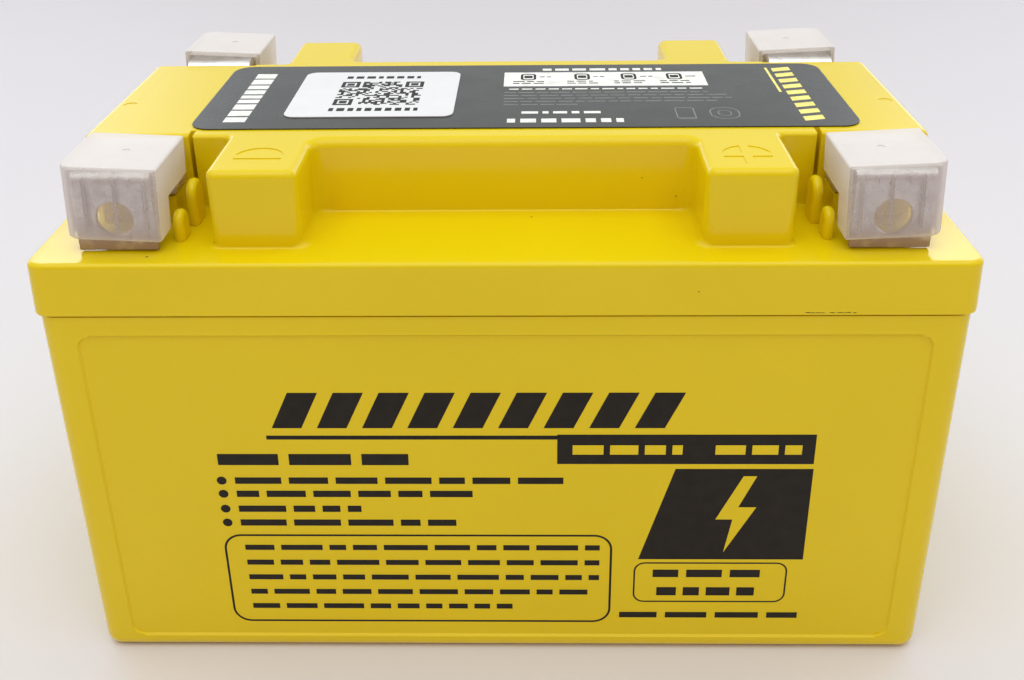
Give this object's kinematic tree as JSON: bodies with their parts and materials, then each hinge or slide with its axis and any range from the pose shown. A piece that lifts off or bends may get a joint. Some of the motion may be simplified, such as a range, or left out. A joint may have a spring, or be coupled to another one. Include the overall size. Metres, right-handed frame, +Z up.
{
  "type": "motorcycle battery",
  "caption": "Sealed 12 V motorcycle battery: yellow case and lid with a raised deck, corner terminals under frosted pull-off caps, and lead cells inside.",
  "frame": {"origin": "centre of the bottom face, on the surface that the battery stands on", "axes": "+X along the length towards the positive terminals, -Y towards the front face, +Z up"},
  "size_m": [0.151, 0.088, 0.0947],
  "materials": {
    "yellow_plastic": "glossy moulded plastic with light scuffs",
    "cover_plastic": "plain moulded plastic, hidden by the label",
    "terminal_metal": "dull tin-plated strip",
    "frosted_plastic": "frosted translucent plastic",
    "label_film": "satin charcoal film with pale print",
    "sticker_paper": "coated white paper",
    "rubber": "matt black rubber",
    "lead": "dull cast lead",
    "positive_paste": "brown lead oxide paste",
    "negative_paste": "grey spongy lead",
    "glass_mat": "white glass fibre mat",
    "seal_resin": "poured dark resin"
  },
  "bodies": {
    "battery": {"case": "yellow_plastic", "lid": "yellow_plastic", "vent_cover": "cover_plastic", "top_label": "label_film", "data_sticker": "sticker_paper", "terminal_front_left": "terminal_metal", "terminal_front_right": "terminal_metal", "terminal_rear_left": "terminal_metal", "terminal_rear_right": "terminal_metal", "busbar_negative": "terminal_metal", "post_bushing_negative": "lead", "post_seal_negative": "seal_resin", "busbar_positive": "terminal_metal", "post_bushing_positive": "lead", "post_seal_positive": "seal_resin", "positive_plates_1": "positive_paste", "negative_plates_1": "negative_paste", "glass_mat_1": "glass_mat", "positive_plates_2": "positive_paste", "negative_plates_2": "negative_paste", "glass_mat_2": "glass_mat", "positive_plates_3": "positive_paste", "negative_plates_3": "negative_paste", "glass_mat_3": "glass_mat", "positive_plates_4": "positive_paste", "negative_plates_4": "negative_paste", "glass_mat_4": "glass_mat", "positive_plates_5": "positive_paste", "negative_plates_5": "negative_paste", "glass_mat_5": "glass_mat", "positive_plates_6": "positive_paste", "negative_plates_6": "negative_paste", "glass_mat_6": "glass_mat", "intercell_weld_1": "lead", "intercell_weld_2": "lead", "intercell_weld_3": "lead", "intercell_weld_4": "lead", "intercell_weld_5": "lead"},
    "cap_front_left": {"terminal_cap_front_left": "frosted_plastic"},
    "cap_front_right": {"terminal_cap_front_right": "frosted_plastic"},
    "cap_rear_left": {"terminal_cap_rear_left": "frosted_plastic"},
    "cap_rear_right": {"terminal_cap_rear_right": "frosted_plastic"},
    "valve_1": {"valve_cap_1": "rubber"},
    "valve_2": {"valve_cap_2": "rubber"},
    "valve_3": {"valve_cap_3": "rubber"},
    "valve_4": {"valve_cap_4": "rubber"},
    "valve_5": {"valve_cap_5": "rubber"},
    "valve_6": {"valve_cap_6": "rubber"}
  },
  "joints": [
    {"name": "cap_front_left_pull", "type": "slide", "parent": "battery", "child": "cap_front_left", "axis": [0, 0, 1], "range_m": [0, 0.02]},
    {"name": "cap_front_right_pull", "type": "slide", "parent": "battery", "child": "cap_front_right", "axis": [0, 0, 1], "range_m": [0, 0.02]},
    {"name": "cap_rear_left_pull", "type": "slide", "parent": "battery", "child": "cap_rear_left", "axis": [0, 0, 1], "range_m": [0, 0.02]},
    {"name": "cap_rear_right_pull", "type": "slide", "parent": "battery", "child": "cap_rear_right", "axis": [0, 0, 1], "range_m": [0, 0.02]},
    {"name": "valve_1_lift", "type": "slide", "parent": "battery", "child": "valve_1", "axis": [0, 0, 1], "range_m": [0, 0.0004], "stiffness_N_per_m": 500},
    {"name": "valve_2_lift", "type": "slide", "parent": "battery", "child": "valve_2", "axis": [0, 0, 1], "range_m": [0, 0.0004], "stiffness_N_per_m": 500},
    {"name": "valve_3_lift", "type": "slide", "parent": "battery", "child": "valve_3", "axis": [0, 0, 1], "range_m": [0, 0.0004], "stiffness_N_per_m": 500},
    {"name": "valve_4_lift", "type": "slide", "parent": "battery", "child": "valve_4", "axis": [0, 0, 1], "range_m": [0, 0.0004], "stiffness_N_per_m": 500},
    {"name": "valve_5_lift", "type": "slide", "parent": "battery", "child": "valve_5", "axis": [0, 0, 1], "range_m": [0, 0.0004], "stiffness_N_per_m": 500},
    {"name": "valve_6_lift", "type": "slide", "parent": "battery", "child": "valve_6", "axis": [0, 0, 1], "range_m": [0, 0.0004], "stiffness_N_per_m": 500}
  ]
}
